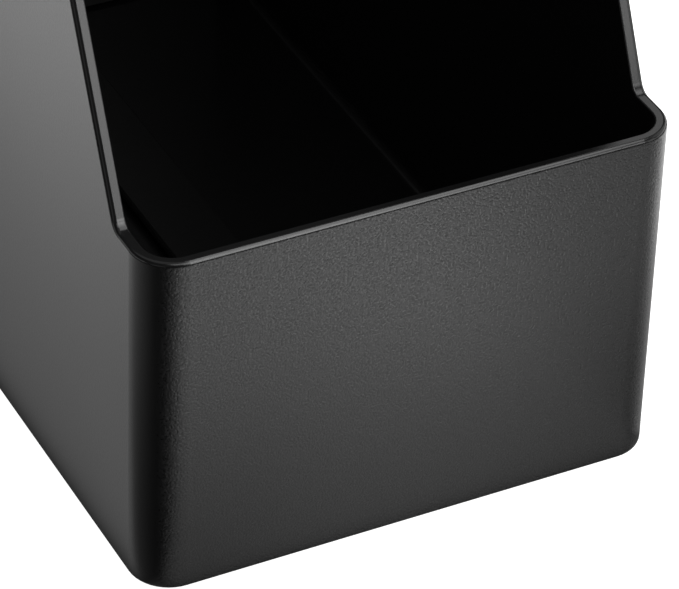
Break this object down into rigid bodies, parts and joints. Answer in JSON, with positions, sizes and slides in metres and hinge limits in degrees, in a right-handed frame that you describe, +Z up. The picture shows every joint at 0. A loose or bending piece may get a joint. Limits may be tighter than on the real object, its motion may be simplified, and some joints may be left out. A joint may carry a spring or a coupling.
{
  "type": "napkin dispenser",
  "caption": "Countertop napkin dispenser: deep open bin with a low front lip and steep side rims, and a braked follower on a floor rail that keeps the napkins upright.",
  "frame": {"origin": "middle of the footprint, on the surface the feet stand on", "axes": "+Z up, the low front lip faces -Y, +X to the right seen from the front"},
  "size_m": [0.15, 0.31, 0.23],
  "materials": {
    "bin_plastic": "fine moulded grain, satin",
    "follower_plastic": "fine moulded grain",
    "foot_rubber": "moulded, dull",
    "track_metal": "black anodised aluminium, matte",
    "screw_steel": "zinc plated",
    "pin_steel": "ground",
    "spring_steel": "drawn wire",
    "stop_plastic": "machined acetal",
    "glide_nylon": "natural nylon",
    "lever_nylon": "glass-filled nylon",
    "grip_rubber": "ribbed, dull",
    "brake_urethane": "cast urethane"
  },
  "bodies": {
    "bin": {"bin_shell": "bin_plastic", "foot_front_left": "foot_rubber", "foot_front_right": "foot_rubber", "foot_rear_left": "foot_rubber", "foot_rear_right": "foot_rubber", "guide_track": "track_metal", "track_screws": "screw_steel", "front_stop": "stop_plastic", "stop_screw": "screw_steel"},
    "follower": {"follower_plate": "follower_plastic", "follower_carriage": "follower_plastic", "plate_screws": "screw_steel", "front_glide": "glide_nylon", "rear_glide": "glide_nylon", "glide_screws": "screw_steel", "pivot_pin": "pin_steel", "pin_clips": "pin_steel", "rear_bumper": "foot_rubber", "return_spring": "spring_steel"},
    "lever": {"release_lever": "lever_nylon", "lever_grip": "grip_rubber", "brake_pad": "brake_urethane"}
  },
  "joints": [
    {"name": "follower_slide", "type": "slide", "parent": "bin", "child": "follower", "axis": [0, -1, 0], "range_m": [0, 0.24]},
    {"name": "lever_pinch", "type": "hinge", "parent": "follower", "child": "lever", "pos_m": [0, 0.113, 0.0187], "axis": [1, 0, 0], "range_deg": [0, 7], "stiffness_Nm_per_rad": 0.6, "springref_deg": -17.19, "deforming": ["return_spring"]}
  ]
}
